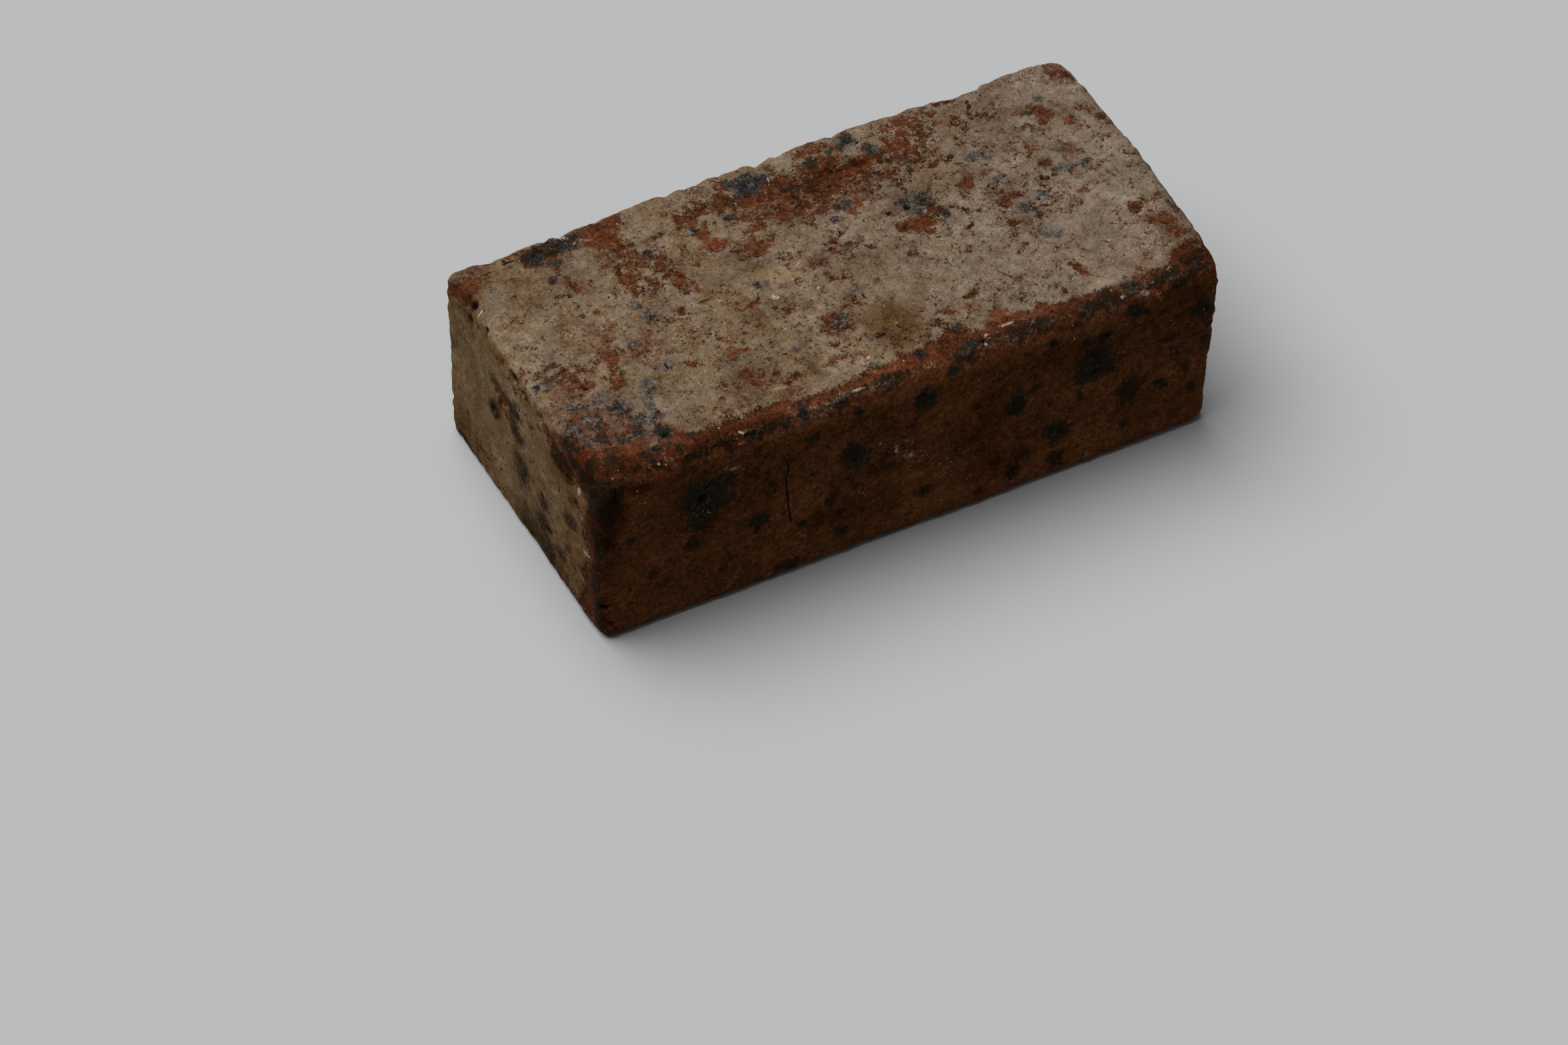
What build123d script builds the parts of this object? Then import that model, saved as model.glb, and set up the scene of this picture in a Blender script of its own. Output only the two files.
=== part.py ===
from build123d import *
import os

# Reclaimed clay brick, moulded and fired as one piece, lying on its bed face.
# Millimetres. +X runs along the stretcher face, +Y from the front face to the back, +Z up.
# The origin is the middle of the lower bed face.

# Overall size: the imperial nine inch format
length = 229.0
width = 111.0
height = 73.0

# The ends are out of square: skew is measured across the width, lean over the height
left_end_skew = 2.0
right_end_skew = 0.5
right_end_lean = 2.5

# Radii of the long arrises: the front top one is rolled over, the back bottom one worn round
front_top_arris = 9.0
back_top_arris = 3.0
front_bottom_arris = 3.0
back_bottom_arris = 7.0

# Radii of the arrises round each end
left_end_arris = 3.5
right_end_arris = 5.0

# The near top corner was knocked down in the soft clay: how far along the edge, and how round
knocked_corner_reach = 13.0
knocked_corner_arris = 3.0

# Each end is a plane through its outermost corner, facing into the brick
left_end = Plane(
    origin=(-length / 2, width / 2, 0),
    z_dir=(1, left_end_skew / width, 0),
)
right_end = Plane(
    origin=(length / 2, width / 2, height),
    z_dir=(-1, right_end_skew / width, right_end_lean / height),
)

# The knocked face slopes evenly across the left end, the front face and the upper bed
near_corner = Vector(-length / 2 + left_end_skew, -width / 2, height)
knocked_face = Plane(
    origin=near_corner + Vector(knocked_corner_reach, 0, 0),
    z_dir=(1, 1, -1),
)

with BuildPart() as brick:
    # Section across the brick, with its four long arrises
    with BuildSketch(Plane.YZ):
        with BuildLine():
            FilletPolyline(
                (-width / 2, 0),
                (width / 2, 0),
                (width / 2, height),
                (-width / 2, height),
                radius=[front_bottom_arris, back_bottom_arris, back_top_arris, front_top_arris],
                close=True,
            )
        make_face()
    extrude(amount=length, both=True)

    # Trim to the two ends and wear their arrises round
    split(bisect_by=left_end, keep=Keep.TOP)
    split(bisect_by=right_end, keep=Keep.TOP)
    fillet(brick.faces().sort_by(Axis.X)[0].edges(), radius=left_end_arris)
    fillet(brick.faces().sort_by(Axis.X)[-1].edges(), radius=right_end_arris)

    # Knock down the near top corner
    split(bisect_by=knocked_face, keep=Keep.TOP)
    fillet(brick.faces().filter_by(knocked_face).edges(), radius=knocked_corner_arris)

brick.part.label = "brick"
os.makedirs("parts", exist_ok=True)
export_step(brick.part, "parts/brick.step")
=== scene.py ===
import math

import bpy
import numpy as np
from mathutils import Matrix, Vector, noise
from mathutils.bvhtree import BVHTree


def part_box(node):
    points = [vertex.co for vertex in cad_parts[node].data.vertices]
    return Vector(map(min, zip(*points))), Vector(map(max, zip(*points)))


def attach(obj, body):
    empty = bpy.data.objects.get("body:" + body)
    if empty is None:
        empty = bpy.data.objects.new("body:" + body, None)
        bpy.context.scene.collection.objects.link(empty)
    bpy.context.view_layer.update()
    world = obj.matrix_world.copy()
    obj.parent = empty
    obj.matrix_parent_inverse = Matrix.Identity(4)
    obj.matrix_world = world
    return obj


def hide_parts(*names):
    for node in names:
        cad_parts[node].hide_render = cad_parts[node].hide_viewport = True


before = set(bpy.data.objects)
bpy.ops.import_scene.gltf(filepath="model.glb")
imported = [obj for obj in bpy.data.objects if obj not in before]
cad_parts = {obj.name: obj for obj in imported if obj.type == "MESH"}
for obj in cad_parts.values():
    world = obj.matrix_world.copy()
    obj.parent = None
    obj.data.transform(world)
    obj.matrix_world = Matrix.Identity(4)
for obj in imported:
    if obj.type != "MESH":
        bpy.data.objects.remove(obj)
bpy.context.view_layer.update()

mm = 0.001
scene = bpy.context.scene
print("frame loaded")


# sRGB hex to linear
def linear(hexColour):
    channels = [int(hexColour[i:i + 2], 16) / 255 for i in (1, 3, 5)]
    return [c / 12.92 if c <= 0.04045 else ((c + 0.055) / 1.055) ** 2.4 for c in channels] + [1.0]


# adds one shader node; inputs are values or sockets, stops are the (place, colour) pairs of a ramp
def addNode(tree, kind, inputs=None, out=0, stops=None, **settings):
    node = tree.nodes.new("ShaderNode" + kind)
    for name, value in settings.items():
        setattr(node, name, value)
    for socket, value in (inputs or {}).items():
        if isinstance(value, bpy.types.NodeSocket):
            tree.links.new(value, node.inputs[socket])
        else:
            node.inputs[socket].default_value = value
    for i, (place, colour) in enumerate(stops or []):
        ramp = node.color_ramp.elements
        stop = ramp[i] if i < 2 else ramp.new(place)
        stop.position = place
        stop.color = linear(colour)
    return node.outputs[out]


# links a new object into the scene
def addObject(name, data):
    thing = bpy.data.objects.new(name, data)
    scene.collection.objects.link(thing)
    return thing


# the node tree of a material or world, emptied
def emptyTree(owner):
    owner.use_nodes = True
    owner.node_tree.nodes.clear()
    return owner.node_tree


# the brick's skin: a fine grid laid over the solid, then worn and roughened; sizes in mm
skin = {
    "pitch": 1.04,                       # between grid lines, just under 200,000 triangles
    "smoothing": 3,                      # passes that take the facets out of the arrises
    "leftSkew": 2.0, "rightLean": 2.5,   # how far the ends run out of square, as in the solid
    # arrises worn rounder than the solid's: two axes with the side on each, radius, and the axis and range
    # that it fades over
    "roundings": [((0, -1), (1, -1), 5.0, None), ((0, -1), (2, -1), 8.0, (1, -55.0, -38.0)),
                  ((0, 1), (1, 1), 8.0, None)],
    "arrisReach": 4.5,                   # how far in from a wavy arris its waves are felt
    # seeded noise: how far each seed moves it, its stretch to about -1 to 1, and where it is cut off
    "noiseShift": (17.3, -9.1, 5.7), "noiseRise": 1.4, "noiseTop": 1.2,
    # unevenness of hand-pressed clay: lump size, height and seed
    "lumps": [(55.0, 0.50, 20), (14.0, 0.26, 21), (4.5, 0.18, 22), (2.4, 0.12, 23)],
    # chips and crumbs along the arrises: lump size, depth, seed, and the noise where they start and are full
    "chips": [(6.0, 0.3, 30, 0.0, 0.9), (2.6, 0.5, 31, -0.2, 0.8)],
    "chipReach": 5.0,                    # how far in from an arris they go
    # how far marks stand out, and the strength at which they start to and are full
    "markRelief": {"limeFilm": (0.45, -0.15, 0.25), "shadedPits": (-1.2, 0.35, 1.0), "iron": (-0.25, 0.4, 0.8),
                   "chalk": (0.3, 0.4, 0.8)},
    "markWander": [(7.0, 0.8, 40), (2.8, 0.5, 50)],          # uneven outlines: lump size, reach, seed
    "markEnd": 1.5,                      # where a mark has died out, in half lengths and half widths
    "markDepth": 7.0, "lineDepth": 3.0,  # how far round an arris a mark or a line on a face still reaches
    "crackBand": (0.72, 1.92),           # a crack fades out between these distances from its line
    "strewnWidth": (0.6, 1.1),           # width of a strewn mark over its length
    # clay is weathered near the stretchers, and well down from the upper bed
    "weathered": (5.0, 1.0), "weatheredBelow": (5.0, 9.0),
}

# film of old mortar, sizes in mm
limeFilm = {
    # how wide its edge is on each face, and how full it is
    "faces": {"upperBed": (1.3, 0.78), "leftHeader": (2.5, 0.8), "lowerBed": (4.0, 0.7),
              "rightHeader": (5.0, 0.35)},
    "arrisReach": 4.5, "arrisFade": 3.0,                     # how far round an arris it goes
    "ragged": [(22.0, 0.30, 4), (8.0, 0.35, 1), (3.6, 0.50, 2), (2.0, 0.40, 3)],   # lump size, strength, seed
    "wear": 0.8,                         # how much of it a mark of wear takes off
    "most": 1.5,                         # its strength is cut off here, also below zero
    # flecks on the front arris: strength in the middle, how far they spread, and where they sit
    "fleckRise": 0.15, "fleckFall": 0.14, "fleckSpread": 30.0, "fleckDepth": 2.5, "fleckFade": 3.0,
    # share of ochre along the upper bed, and on the left header
    "ochreAlong": [(-110, 0.38), (-40, 0.42), (20, 0.12), (70, -0.15)], "bedDepth": (2.5, 1.0),
    "ochreHeader": 0.9, "headerDepth": 5.0,
}

# wavy arrises: the two sides that meet there, as axis and side, and pairs of a place along the arris and
# how far it stands out from the solid's own arris, in mm
wavyArrises = [
    ((1, 1), (2, 1), [
        (-116, -1.5), (-110, -1.2), (-105.5, -0.8), (-100, -2.1), (-95.5, -1.8), (-88, -1.2), (-81.4, -0.9),
        (-79.5, -1.8), (-77.5, -0.8), (-75, -1.8), (-68.4, -0.7), (-62, -1.1), (-57, -0.6), (-50, -0.1),
        (-39, 0.2), (-36, -0.7), (-30.6, 0.1), (-28, -0.4), (-20, 0.3), (-13, 0.4), (-6, 0.8), (-3.5, -0.7),
        (0, -0.4), (3, 0.1), (5, -0.4), (11.6, 0.6), (18.4, 0.9), (22, 0.6), (26.2, -0.2), (32, 1),
        (45, 0.8), (51.5, 0.6), (55.4, 1.1), (59.3, 0.5), (67, 0.2), (72, -0.8), (75, -0.4), (81, -0.6),
        (82.4, 0.9), (87, 0.6), (101, 0.9), (108, -0.3)]),
    ((0, 1), (2, 1), [
        (-50, -0.5), (-45, 0), (-39, 0.5), (-33, 0.7), (-21, 0.7), (-10.6, 0.9), (-4.6, 1.9), (0.5, 1.3),
        (4.5, 1.9), (10, 1.5), (15, 0.7), (23, 0.3), (29, 0.6), (38, 0.5), (43, -0.5), (48, -0.3),
        (51, -0.8)]),
    ((0, 1), (1, -1), [
        (2, 0), (10, -0.1), (14, -0.3), (22, -0.5), (29.5, -0.8), (31.5, 0.4), (38.4, 0.6), (40.5, 0),
        (42.4, -0.55), (45, 0.1), (48, 0.75), (56.7, 0.95), (63, 0.75), (68, 0.4), (72, 0)]),
    ((0, -1), (1, 1), [(0, 1.2), (20, 1.2), (40, 1), (60, 1.3), (68, 1.2), (73, 0.6)]),
    ((0, -1), (2, -1), [(-56, -0.5), (-45, 0.4), (-20, 1), (10, 1.2), (56, 1.2)]),
    ((0, -1), (2, 1), [
        (-50, -0.5), (-40, -0.8), (-30, -0.5), (-20, 0.3), (-15, 0.9), (-8, 1), (-2, 0.2), (3, 0.2),
        (8, 0.9), (12, 0.3), (20, 1.2), (28, 1), (33, 0.3), (45, -1), (52, -0.5)]),
]

# Marks are (u, v, half length, half width, ...) in mm on their face, most of them read off the photograph:
# u, v are x, y on the beds, x, z on the stretchers and y, z on the headers.
# Wear, thin film, pale film and clay (one band of it painted light), stains (a few of them painted shade) and
# white grains (partly painted glints) also have an amount, and any mark can end in its turn in degrees.
upperBed = {
    # front edge of the film, from the left end to the right
    "filmEdge": [
        (-114, -17), (-112, -31), (-108.5, -38), (-106, -43), (-100, -46.5), (-94.5, -47.5), (-93, -48.5),
        (-89, -48), (-86, -47), (-80, -44), (-78.5, -45.5), (-74, -46.8), (-60, -47.8), (-46, -47.8),
        (-40, -49), (-20, -49), (-9, -48.3), (-3, -47.8), (13, -47.5), (16, -44), (23.5, -47.5),
        (30, -48.5), (33, -46.5), (44, -47.5), (56, -48), (66, -49), (80, -49.7), (93, -49), (99, -47),
        (100.7, -44.4), (105.3, -43.4), (109.3, -41.4), (114, -39)],
    "wear": [
        # left back corner and the band beside it
        (-116, 41, 3.5, 8, 2), (-109.5, 46.5, 5, 2.6, 2, -20), (-106, 51, 5, 2.4, 0.8),
        (-102.5, 46.8, 1.5, 1, 1), (-92, 51.5, 6, 1.6, 1.9), (-87, 46.5, 5, 4.5, 1.9),
        (-81.5, 46, 5, 3, 2, -35), (-81.5, 41.2, 3, 2, 1.7), (-83, 37.8, 1.8, 2.2, 1.8),
        (-85.3, 34.3, 1.5, 1.5, 1.2), (-81.3, 32, 0.9, 2.5, 1.3), (-80.8, 28, 1.2, 1.6, 1.6),
        (-80.5, 18.5, 0.8, 1.2, 1.4), (-83.5, 15.7, 1.6, 0.8, 1.2), (-79.3, 14.5, 1.3, 0.9, 1.2),
        (-76, 49, 6, 3, 1.6), (-63, 48, 7, 5, 2.1), (-57.5, 50.5, 5, 2.6, 2, 25),
        (-66.5, 45.5, 3.5, 2.4, 1.9), (-62, 42, 4.4, 4, 1.9), (-61, 37, 5, 4, 1.6),
        (-67.5, 32.5, 2.6, 1.4, 1.5), (-66.5, 36.5, 2.2, 2, 1.1), (-58.6, 33.5, 3, 2, 1.7),
        (-60.5, 29.5, 5.5, 3, 1.25), (-64, 24.5, 2.6, 4.5, 1.7), (-56, 26.6, 3, 1.2, 1.6),
        (-63.5, 18, 1.7, 3, 1.4), (-56.5, 19, 2.6, 2.8, 1.6), (-60, 23, 3, 3, 0.9),
        (-50, 25, 2.3, 4.4, 1.7), (-49.5, 19, 2.8, 3, 1.5), (-48.5, 13, 2.6, 4, 1.3),
        (-46, 9.5, 1.3, 2, 1.2), (-53, 30, 3, 3, 1), (-60, 14.5, 2, 2, 0.9), (-55, 3, 2.7, 2, 2),
        (-58.5, 1, 1.2, 1, 1.1), (-81, 2, 1.6, 1.6, 1.1), (-78, 6.7, 1.6, 0.6, 1.5), (-113, -1, 2.6, 4, 2),
        (-72, 37, 0.9, 0.9, 1.2), (-67, 40, 0.8, 1.2, 1.5), (-97, 41, 1.2, 0.8, 1.2),
        (-99.5, 33.5, 1, 1.3, 1.3), (-92.5, 36.8, 1.2, 0.8, 1.1),
        # band along the back
        (-40.6, 45.3, 1.2, 1.4, 2), (-46.8, 37.7, 2.4, 1.3, 1.7), (-35.5, 41, 4, 2, 2),
        (-29, 42.5, 4.4, 2.4, 2.1), (-36.5, 37.8, 3.6, 1.6, 1.7), (-33.5, 31.5, 3.6, 2.4, 1.8),
        (-30, 35, 1.2, 2.2, 1.6), (-31, 25.5, 3, 3.2, 1.8), (-35.8, 26.5, 1.2, 0.9, 1.4),
        (-39.5, 19.2, 2.8, 0.9, 1.5), (-22, 42, 7, 3.4, 2.1), (-12, 40, 9, 4.6, 2.1), (-2, 41, 8, 6, 2.1),
        (-18, 48.5, 3, 3.6, 1.2), (-27, 33.5, 1, 1.8, 1.3), (-14, 33, 6, 1.6, 1.1),
        (-16.5, 26.3, 3.6, 1.1, 1.7), (-5, 30, 3, 5, 1.8), (4, 34, 10, 4, 2), (6, 28.5, 9, 4, 1.6),
        (9, 23.8, 7, 3, 1.2), (2, 22, 2.4, 3, 1.3), (2.5, 18, 1.1, 1.4, 1.4), (15, 18.5, 1.4, 3, 1.3),
        (0.5, 50, 0.9, 2.2, 1.6), (14, 44, 7, 4, 1.8), (18, 50.5, 6, 3, 1.1), (20, 45, 6, 3.6, 1.4),
        (26, 37, 8, 3.4, 2.2), (18, 37, 7, 3, 2.2), (36, 38, 4, 3, 1.3), (22, 29, 8, 4, 1.35),
        (33, 29.5, 6, 3, 1.3), (36, 24, 5, 4, 0.9), (20, 21.5, 6, 5, 1.05), (26, 23.5, 4, 4, 1.1),
        (48, 40, 14, 11, 0.95), (10, 35, 26, 8, 1.5), (24, 32, 12, 7, 1.2), (48.5, 45.8, 2.8, 2.8, 1.7),
        (44.2, 40.1, 1.4, 0.8, 1.6), (56.5, 39.2, 1, 1, 1.6), (54.6, 46.5, 1.2, 1.2, 1.5),
        (42, 27.5, 2.2, 2.2, 1.7), (49, 28, 3.2, 1.3, 1.6), (54.6, 27, 1.8, 1.5, 1.6),
        (49.4, 36, 1.5, 1.7, 1.5), (52, 31.5, 1.2, 1.2, 1.6), (66, 53, 4.6, 1.3, 1.6),
        (73, 46.8, 0.9, 0.9, 1.4), (66, 43, 1.6, 2.4, 0.9), (77.3, 31.4, 1.5, 1.1, 1.4),
        (-20, 18.5, 5.2, 3, 2.1), (-18.6, 22.5, 1.2, 2.4, 1.5), (-27, 20, 0.8, 1.4, 1.5),
        (4.2, 9.6, 1.3, 2, 1.6), (7.5, 11.3, 2, 0.8, 1.5, 25), (10.7, 12.4, 1.1, 0.7, 1.4),
        (2.5, 4.6, 1, 0.9, 1.7), (-41.7, 5, 1, 0.7, 1.3), (70, 42, 14, 8, 0.35),
        # middle and front
        (-101.5, -1.5, 1.7, 2.5, 1.7), (-100.5, -4.5, 1.5, 1.7, 1.6), (-104, -1.5, 1.3, 1.5, 1.2),
        (-98, -9.5, 1.6, 2, 1.2), (-95.8, -13.8, 2.3, 2.1, 1.8), (-102, -15.5, 4, 3.4, 0.9),
        (-84, -6.5, 2.5, 3.2, 1.6), (-85.5, -11, 3, 2.4, 1.4), (-87.5, -16.5, 2.9, 3.2, 1.8),
        (-90.5, -13.5, 2.2, 1.7, 1.3), (-75, -7, 7, 4, 0.55), (-62.8, -19.8, 1.9, 1.6, 1.7),
        (-61.3, -22.5, 1.7, 1.8, 1.6), (-62, -45.5, 4, 2, 0.8), (-53, -45, 5, 3, 0.7),
        (-32.5, -5, 1.9, 1.6, 2), (-30.6, -4, 0.9, 0.8, 1.6), (-48.5, -14, 2.2, 1.7, 1.7),
        (-47, -16.3, 1.5, 1.3, 1.7), (-48, -21.5, 1.6, 2.2, 1.7, 40), (-44.5, -22.5, 2.2, 1.3, 1.7),
        (-41.2, -15.4, 1, 0.8, 1.6), (-37.7, -12.6, 0.9, 0.8, 1.5), (-24.8, -12.3, 1.3, 1.2, 1.5),
        (-21, -22.8, 1, 1.3, 1.6), (-13.5, -22.5, 3, 2.4, 1.3), (-16, -26, 1.6, 2.6, 1),
        (-10, -28, 3, 2, 0.7), (-17, -33, 1.9, 1.2, 1.6), (0, -7.5, 2.7, 1.5, 1.2), (-4, -7, 1.1, 0.8, 1.3),
        (0.3, -11.7, 1, 0.9, 1.6), (-47, -35, 5, 6, 0.7), (-47.5, -32.7, 2.2, 0.9, 1.6),
        (-40.4, -36.5, 1.3, 1.5, 2), (-36.5, -40, 4.6, 1.9, 1.5), (-47, -38.5, 1.7, 1.1, 1.5),
        (-38.5, -46, 4, 3, 0.9), (33.5, 4.5, 6.2, 4.2, 2.1), (28, 7, 3, 2, 1.8), (40.5, 8, 2, 2.6, 1.7),
        (34, -0.5, 2.2, 1.7, 1.6), (25.7, 13.3, 1.9, 1.6, 2), (46.2, 6.1, 1, 0.9, 1.6),
        (53, 14.8, 1.8, 1.1, 1.5), (57.3, 15.8, 1.6, 1.1, 1.5), (56, 13, 1.3, 1.7, 1.6),
        (52, 10.8, 1.1, 1.7, 1.5), (63, 16, 1.7, 1.1, 1.5), (66.5, 17, 1.1, 0.9, 1.4), (62, 6, 3, 2, 1.1),
        (66, 3.5, 3, 1.5, 1.1), (60, 9, 1.1, 1.1, 1.4), (68, 1.6, 2, 0.9, 1.5), (62.7, -0.6, 1.8, 1.7, 2),
        (79.8, 5.3, 1.9, 1.2, 1.7, -35), (78.2, 1.9, 1.2, 0.7, 1.5), (32.3, -3.5, 0.9, 0.8, 1.7),
        (46.3, -3.5, 1.1, 0.9, 1.6), (61, -8.8, 2.4, 1.1, 2), (73.5, -6, 1.6, 0.8, 1.3),
        (70, -10, 0.9, 1.3, 1.6), (60, -20.2, 1.3, 0.9, 1.9), (32, -33, 1.9, 1.1, 1.8),
        (34.5, -31.8, 1.3, 1.5, 1.6), (21.8, -36.5, 2.4, 1.5, 1.9, -25), (29.3, -38.5, 0.9, 1.9, 1.6, -30),
        (25.3, -38.8, 1, 0.9, 1.5), (18.3, -28.8, 1, 0.8, 1.5), (19.3, -31.4, 0.8, 0.8, 1.5),
        (69.5, -36, 1.4, 1.5, 1.6), (70, -39.3, 1.6, 1.3, 1.7), (48, -39.3, 1.5, 0.9, 1.2),
        (59, -41.5, 1.6, 1.4, 1.3), (61.1, -44.8, 0.8, 0.9, 1.5), (35.5, -44.5, 3.8, 2.5, 2),
        (32.5, -47, 2.2, 1.7, 1.9), (41, -46.8, 3.6, 1, 1.8, -8), (20.5, -45.5, 3.4, 3.2, 1.8),
        (17.5, -40.5, 2, 3, 1.2), (10.5, -48, 2.2, 1.5, 1.5), (50, -47.5, 2.4, 1.4, 1.4),
        (86.5, -46.5, 1.6, 1, 1.5),
        # right end
        (92, 36, 3.5, 2.7, 1.5), (94, 32, 2.7, 2, 1), (100.8, 25.8, 1.7, 2.1, 1.6),
        (103, 23, 2.1, 1.3, 1.3), (107.5, 49, 2.5, 2.1, 1.2), (110.5, 46, 1.7, 2.5, 1.4),
        (111.8, 36.5, 1.3, 2, 1.6), (112.5, 20.5, 1.3, 2.2, 1.9), (93, 13, 3, 3, 0.9),
        (83.5, 12, 3, 2.4, 1), (111.6, 3.8, 1.5, 1.9, 1.9), (111.8, -11.5, 0.9, 1.1, 1.7),
        (112.5, -16, 1.2, 2.6, 1.9), (106.5, -18.8, 4.2, 1.7, 1.5), (99.8, -21, 2.7, 2.5, 1.6),
        (105, -28.5, 3.5, 2.7, 1.5), (108.5, -31.5, 3, 2.1, 1.4), (99, -39, 2.2, 2.2, 0.9),
        (107.5, -37.5, 3.5, 3, 1), (87, 35.5, 2.4, 2, 0.9),
        # the near corner, mostly bare
        (-101, -37.5, 8, 4.5, 0.8), (-99, -45, 8, 4, 1.5), (-106, -26, 4, 6, 0.6), (-96, -28, 9, 7, 0.6),
        (-104, -12, 8, 9, 0.4), (-91, -38, 4, 5, 1), (-82.8, -43.6, 3.6, 3.6, 2), (-112, -32, 2.4, 4, 1.6)],
    "thin": [
        (-106, 51, 6, 2.6, 0.9), (-83, 7, 5, 7, 0.75), (-93, 13.6, 3, 2, 0.6), (-101, -12, 7, 9, 0.75),
        (-75, -7, 8, 6, 0.7), (-100, -34, 14, 16, 1.3), (-52, -38, 6, 7, 0.8), (-46, -35, 6, 8, 0.9),
        (-6, 3, 5, 5, 0.7), (-12.5, -25, 5.5, 6.5, 1.1), (-2.5, -3.5, 5, 4, 0.7), (-20, -11, 7, 5, 0.5),
        (54, 12.5, 3.4, 3, 0.9), (63, 5, 6, 5, 1.1), (83.5, 12, 3, 2, 0.9), (92.5, 14, 4, 4, 0.9),
        (93, 34, 5, 5, 0.9), (50, -36, 3, 4, 0.6), (105, -32, 7, 8, 0.8), (108, 46, 4, 7, 0.8),
        (66, -11, 8, 4, 0.6), (-62, -44, 6, 4, 0.6), (-37, -44, 6, 4, 0.7), (20, 26, 10, 7, 0.6),
        (27, -14, 4, 3, 0.5)],
    "iron": [
        (-86.3, 46.3, 3, 3.2), (-81.5, 41.2, 2.6, 1.6), (-85.3, 34.3, 1.3, 1.3), (-79.5, 51.5, 3, 2),
        (-75.5, 50, 4, 3), (-73.5, 46.5, 3, 2.4), (-71, 51, 2.5, 1.8), (-53.3, 31.5, 1.8, 1.3),
        (-53, 29, 1.2, 0.8), (-64.3, 3.5, 2.2, 1.6), (-110.8, -8, 1.2, 2), (-84, -14.3, 1.5, 1),
        (-55, -13.4, 0.8, 1), (-51.5, -10.3, 1, 0.8), (-49.3, 9.8, 1.8, 1.5), (-46.5, 3.4, 2, 0.8),
        (-27, 2.2, 1.4, 1.3), (-91, -39, 1.7, 2), (-96.2, -40, 1.7, 1.8), (-81.3, -34, 1, 3.6),
        (-83, -43.6, 2.8, 3.2), (-88, -48, 1.8, 1), (-112, -31.5, 1, 1.6), (-111.5, -34.5, 1.8, 1.5),
        (-92, -26.5, 1.2, 1.4), (-9.5, 46, 4.6, 4.2), (-14.5, 48, 3, 2.6), (-4, 47, 2.4, 1.8),
        (-8.5, 42.5, 1.5, 1.6), (-21.5, 35, 2, 1.5), (-35, 34.8, 1.1, 1.6), (12.3, 23.6, 1.1, 1.5),
        (9.3, 17.3, 2.2, 1.2), (29, 51.3, 3, 2.8), (27.5, 48.3, 2, 1.8), (34.5, 44.5, 1.4, 1.4),
        (34, 41.5, 1.2, 1.2), (38.8, 35.8, 1.2, 1.4), (44.5, 32.5, 1.2, 1.6), (47.5, 31.8, 0.8, 0.8),
        (32.5, 15.5, 2.6, 3), (38.8, 13, 3, 2.3), (35.3, 9.8, 2, 1.4), (42.8, 5, 1.4, 2.6),
        (57.5, 27.5, 0.8, 0.8), (63.2, 26, 0.8, 0.7), (69.3, -5.6, 1.3, 2.2), (72.5, -20.3, 0.9, 0.9),
        (81.3, 11.2, 1.1, 1), (83.3, 4.9, 1, 0.9), (88.8, 7.2, 1.3, 1.1), (111.2, 23.3, 1.7, 1.7),
        (111.8, -24.5, 1, 2.4), (74.3, 49, 0.9, 1.2), (5, -48.6, 2.4, 1.5), (47.7, -43.3, 1.2, 0.8),
        (26, -51.5, 3.4, 2), (22, -51, 1.9, 1.6), (81.5, -51.6, 2.6, 1.3), (104.5, -50.2, 2.4, 1.6),
        (109.6, -48, 0.9, 1.1), (-38.8, -52.8, 2.4, 2.8), (-58, -54, 1.6, 1)],
    # grey veil around iron spots and on scraped clay
    "veil": [
        (-104.8, 39, 1.1, 1.4), (-61.5, 36.5, 1.3, 1.3), (-66.5, 11, 2.4, 2.2), (-66.5, 5.5, 2.2, 1.5),
        (-63, 3.5, 3, 2), (-107.5, -7, 3.4, 2.3), (-75.8, -2.8, 2.4, 2.2), (-69, -16.5, 2.2, 2),
        (-73, -17.5, 1.5, 1.1), (-70.5, -30, 1.9, 1.5), (-61, -39, 1.4, 1.2), (-79, -23, 2.6, 3.2),
        (-102.8, -27.5, 2, 3), (-91, -27, 4, 3), (-86, -35.5, 4, 5), (-109.5, -30, 2.6, 2.4),
        (-104, -37, 5, 3), (-40.5, -23.8, 2, 1.4), (-30, -30, 1.7, 1.6), (-47.7, -43.7, 1.6, 0.9),
        (-10.8, -47, 2, 1.3), (-25.5, 1.6, 2.6, 2), (-9, 46.5, 8, 4.6), (-3, 47.5, 3.4, 2.2),
        (-18, 42, 1.8, 1.3), (-35, 34.8, 1.8, 2.2), (-22, 35, 3, 2.2), (13.5, 46, 3.6, 2.4),
        (2, 38, 2.8, 2), (14, 23, 3.6, 2.6), (5.2, 13.8, 1.3, 1), (21.5, 48, 1.8, 1.6),
        (30, 31.5, 1.4, 1.6), (36, 14.5, 6, 4.6), (63.5, 24.5, 2.8, 3.2), (67.5, 23.3, 1.6, 2.2),
        (65, 11, 3, 2.8), (67.4, 7.2, 1, 0.9), (40, -4, 1.4, 2.6, -35), (66.8, -5, 3.6, 3.2),
        (74, -2, 2.6, 2.4), (67.5, -18, 3.2, 2.8), (71, -20, 2.6, 2.2), (1, -14.2, 4.2, 1.5),
        (-12, -24.5, 3, 2.2), (-9.3, -23.3, 1.6, 1.4), (47.5, -40.5, 2, 1.8), (59, -41.5, 1.8, 1.6),
        (19.5, -44, 2.2, 1.8), (89.3, 34.3, 1, 1.2), (96.5, 39.5, 2.2, 1.6), (88, 26.2, 1.3, 2.4),
        (89.5, 15.5, 1.8, 2.6), (87.8, 6.6, 3.2, 2.6), (95.2, 5, 2.4, 2), (105.8, 15, 1, 2.6),
        (99.5, -2, 0.9, 1.8), (102.5, -2.4, 0.9, 1.3), (113, -5.5, 1.1, 2.8), (-47.5, -53.8, 5, 2.2),
        (-65, -54, 4, 2), (-25, -53.5, 7, 2.2), (-8, -53, 9, 2), (44, -53.3, 12, 1.8),
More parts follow.
